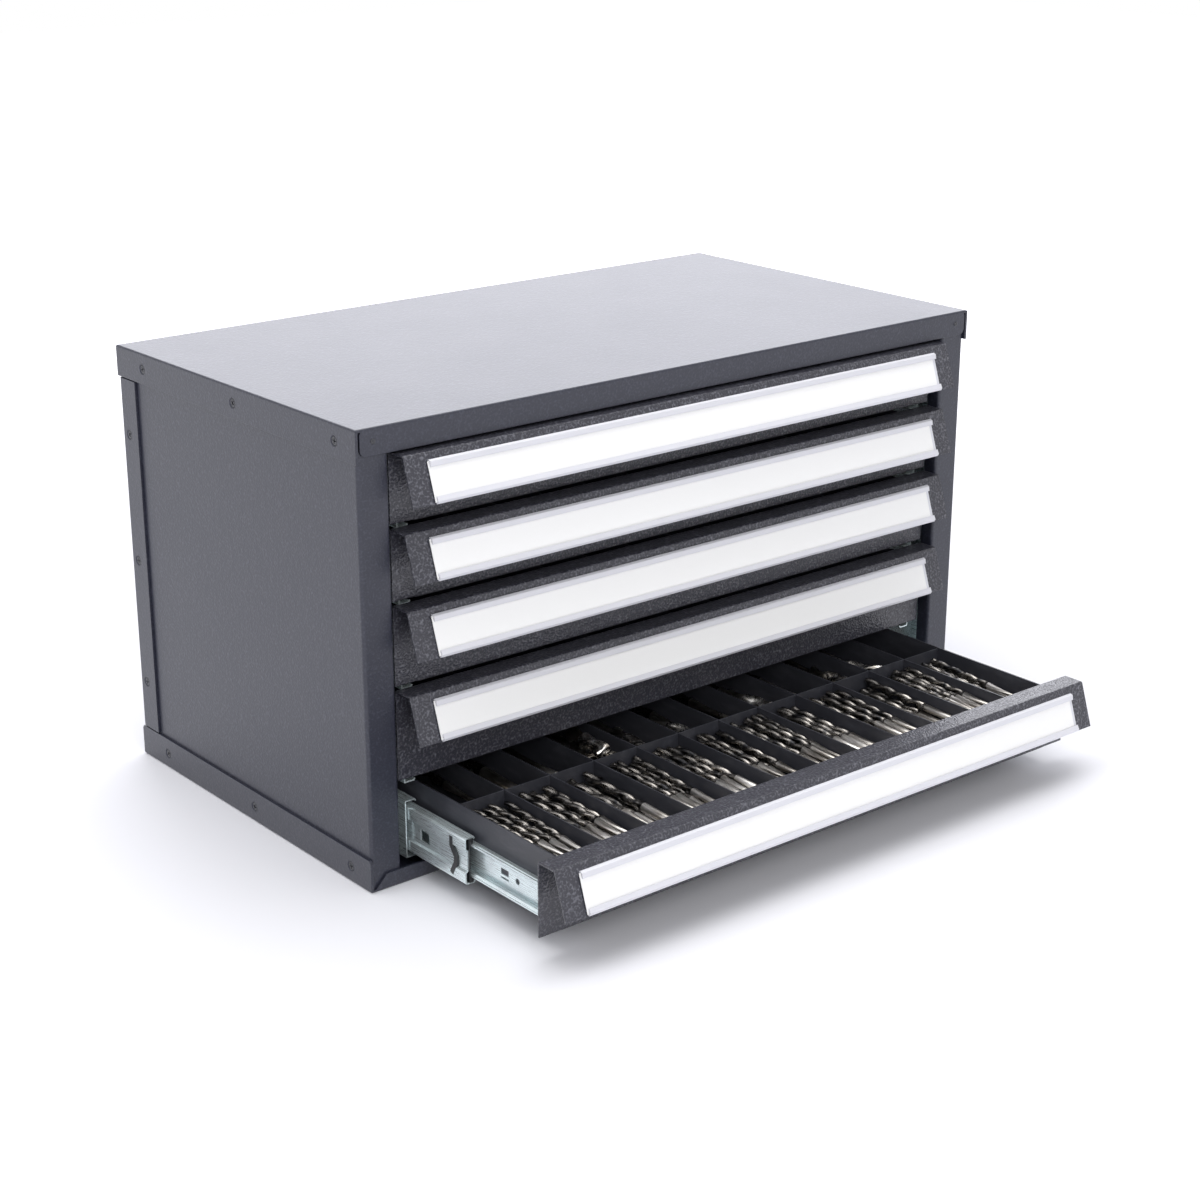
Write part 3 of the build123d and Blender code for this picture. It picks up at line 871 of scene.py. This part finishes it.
@dataclass
class Contents:
    """The bits in every compartment of the open drawer."""

    palette: Palette
    wall: float = 1.2 * MM              # thickness of the tray's sheet
    plate: float = 1.0 * MM             # and of the plates that part it
    row_behind_face: float = 118.0 * MM
    front: Row = Row("front", (5.6, 6.8, 8.2, 6.0, 7.2, 6.0, 6.2, 7.4, 6.6, 6.8, 6.4, 5.6),
                     length=113.0, top_front=57.0, top_back=62.0)
    back: Row = Row("back", (8.0, 9.0, 7.0, 9.0, 8.5, 7.5, 8.0, 9.5, 8.5, 7.0, 9.0, 8.0),
                    length=150.0, top_front=50.0, top_back=53.0,
                    cutters={4: 2, 5: 1, 6: 1, 8: 1, 10: 1, 11: 1})

    def fill(self) -> None:
        """Fill both rows, from the tray's own box."""
        low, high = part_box(f"drawer_{OPEN_DRAWER}_tray")
        pitch = (high.x - low.x) / COLUMNS
        floor = low.z + self.wall
        row_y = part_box(f"drawer_{OPEN_DRAWER}_front")[1].y - self.wall + self.row_behind_face
        reach = ((self.front, low.y + self.wall, row_y - self.plate / 2),
                 (self.back, row_y + self.plate / 2, high.y - self.wall))
        for column in range(COLUMNS):
            left = low.x + column * pitch + (self.wall if column == 0 else self.plate / 2)
            right = low.x + (column + 1) * pitch - (self.wall if column == COLUMNS - 1 else self.plate / 2)
            for row, near, far in reach:
                Pile(row, column + 1, Vector((left, near, floor)),
                     Vector((right, far, high.z))).lay(self.palette)


# ---------------------------------------------------------------- studio
@dataclass(frozen=True)
class Softbox:
    """One large soft lamp.

    Attributes:
        name: the lamp's name.
        place: where it hangs.
        size: its width and height, in metres.
        radiance: how bright its surface looks, where 1 is white.
        colour: its tint.
    """

    name: str
    place: Point
    size: tuple[float, float]
    radiance: float
    colour: str = WHITE

    def hang(self, aim: Point) -> None:
        """Hang the lamp.

        Args:
            aim: the point that it shines at.
        """
        data = bpy.data.lights.new(self.name, "AREA")
        data.shape = "RECTANGLE"
        data.size, data.size_y = self.size
        data.energy = self.radiance * math.pi * self.size[0] * self.size[1]
        data.color = linear(self.colour)[:3]
        lamp = bpy.data.objects.new(self.name, data)
        bpy.context.scene.collection.objects.link(lamp)
        lamp.location = self.place
        lamp.rotation_euler = (Vector(aim) - Vector(self.place)).to_track_quat("-Z", "Y").to_euler()


@dataclass
class Studio:
    """A white floor, large soft lamps, and the camera at the photograph's place.

    The camera comes from a pinhole fit to the corners of the case in the photograph.
    """

    azimuth: float = math.radians(-39.412)
    elevation: float = math.radians(19.335)
    camera_at: Point = (-1.0933, -1.3858, 0.7293)
    focal_pixels: float = 2260.7
    photo_pixels: float = 1200.0
    sensor_mm: float = 36.0
    clip: Span = (0.01, 50.0)
    floor_half: float = 6.0
    floor_colour: str = "F1F1F6"
    floor_shine: float = 0.35       # white added to the floor in what the metal reflects
    near: float = 0.8               # where the floor starts to fade into the background, and ends
    far: float = 2.4
    ambient: float = 0.41           # strength of the light that the world gives
    middle: Point = (0.0, 0.0, 0.17)
    lamps: tuple[Softbox, ...] = (
        Softbox("back_softbox", (1.9, 2.45, 1.5), (3.2, 1.9), 3.1, "F5F6FF"),
        Softbox("top_softbox", (-0.1, 0.15, 2.2), (2.0, 2.0), 3.3),
        Softbox("left_softbox", (-2.2, 0.9, 1.3), (1.6, 1.2), 1.1, "F5F6FF"),
        Softbox("front_softbox", (-1.0, -2.6, 1.6), (2.0, 1.4), 3.5),
    )

    def camera(self) -> None:
        """Stand the camera where the photograph was taken."""
        az, el = self.azimuth, self.elevation
        back = Vector((math.sin(az) * math.cos(el), -math.cos(az) * math.cos(el), math.sin(el)))
        right = Vector((math.cos(az), math.sin(az), 0.0))
        facing = Matrix((right, back.cross(right), back)).transposed().to_4x4()
        data = bpy.data.cameras.new("camera")
        data.sensor_width = self.sensor_mm
        data.lens = self.focal_pixels / self.photo_pixels * self.sensor_mm
        data.clip_start, data.clip_end = self.clip
        camera = bpy.data.objects.new("camera", data)
        bpy.context.scene.collection.objects.link(camera)
        camera.matrix_world = Matrix.Translation(self.camera_at) @ facing
        bpy.context.scene.camera = camera

    def floor(self) -> None:
        """Lay a white floor that keeps the object's shadow and fades into the background."""
        half = self.floor_half
        mesh = bpy.data.meshes.new("floor")
        mesh.from_pydata([(-half, -half, 0), (half, -half, 0), (half, half, 0), (-half, half, 0)], [],
                         [(0, 1, 2, 3)])
        material = bpy.data.materials.new("white_paper_floor")
        material.use_nodes = True
        tree = material.node_tree
        tree.nodes.clear()
        paper = add_node(tree, "BsdfDiffuse", {"Color": linear(self.floor_colour)})
        path = add_node(tree, "LightPath")
        seen = add_node(tree, "Math", {0: path.outputs["Is Camera Ray"], 1: path.outputs["Is Glossy Ray"]},
                        operation="MAXIMUM")
        shine = add_node(tree, "MapRange", {"Value": path.outputs["Is Glossy Ray"],
                                            "To Max": self.floor_shine})
        place = add_node(tree, "TexCoord").outputs["Object"]
        away = add_node(tree, "VectorMath", {0: place}, operation="LENGTH")
        fade = add_node(tree, "MapRange", {"Value": away.outputs["Value"], "From Min": self.near,
                                           "From Max": self.far, "To Min": shine.outputs[0], "To Max": 1.0})
        lift = add_node(tree, "Math", {0: seen.outputs[0], 1: fade.outputs[0]}, operation="MULTIPLY")
        glow = add_node(tree, "Emission", {"Color": linear(WHITE), "Strength": lift.outputs[0]})
        both = add_node(tree, "AddShader", {0: paper.outputs[0], 1: glow.outputs[0]})
        add_node(tree, "OutputMaterial", {"Surface": both.outputs[0]})
        mesh.materials.append(material)
        floor = bpy.data.objects.new("floor", mesh)
        bpy.context.scene.collection.objects.link(floor)

    def world(self) -> None:
        """Light everything softly, and show white to the camera, in reflections and through glass."""
        world = bpy.data.worlds.new("studio")
        world.use_nodes = True
        tree = world.node_tree
        path = add_node(tree, "LightPath")
        seen = add_node(tree, "Math", {0: path.outputs["Is Camera Ray"], 1: path.outputs["Is Glossy Ray"]},
                        operation="MAXIMUM")
        shown = add_node(tree, "Math", {0: seen.outputs[0], 1: path.outputs["Is Transmission Ray"]},
                         operation="MAXIMUM")
        level = add_node(tree, "MapRange", {"Value": shown.outputs[0], "To Min": self.ambient,
                                            "To Max": 1.0})
        feed(tree, tree.nodes["Background"], {"Color": linear(WHITE), "Strength": level.outputs[0]})
        bpy.context.scene.world = world

    def set_up(self) -> None:
        """Set the camera, the floor and the lamps."""
        self.camera()
        self.floor()
        self.world()
        for lamp in self.lamps:
            lamp.hang(self.middle)


def main() -> None:
    """Dress the case, fill the open drawer and set up the studio."""
    logging.basicConfig(level=logging.INFO, format="%(name)s: %(message)s")
    random.seed(SEED)
    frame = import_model()
    bpy.context.scene.view_settings.view_transform = "Standard"

    palette = Palette()
    Case(palette).dress(frame)
    fasteners = Fasteners(palette)
    fasteners.screws(frame["nodes"]["case_screws"])
    fasteners.rivets(frame["nodes"]["front_rivets"])
    Contents(palette).fill()
    Studio().set_up()


if __name__ == "__main__":
    main()
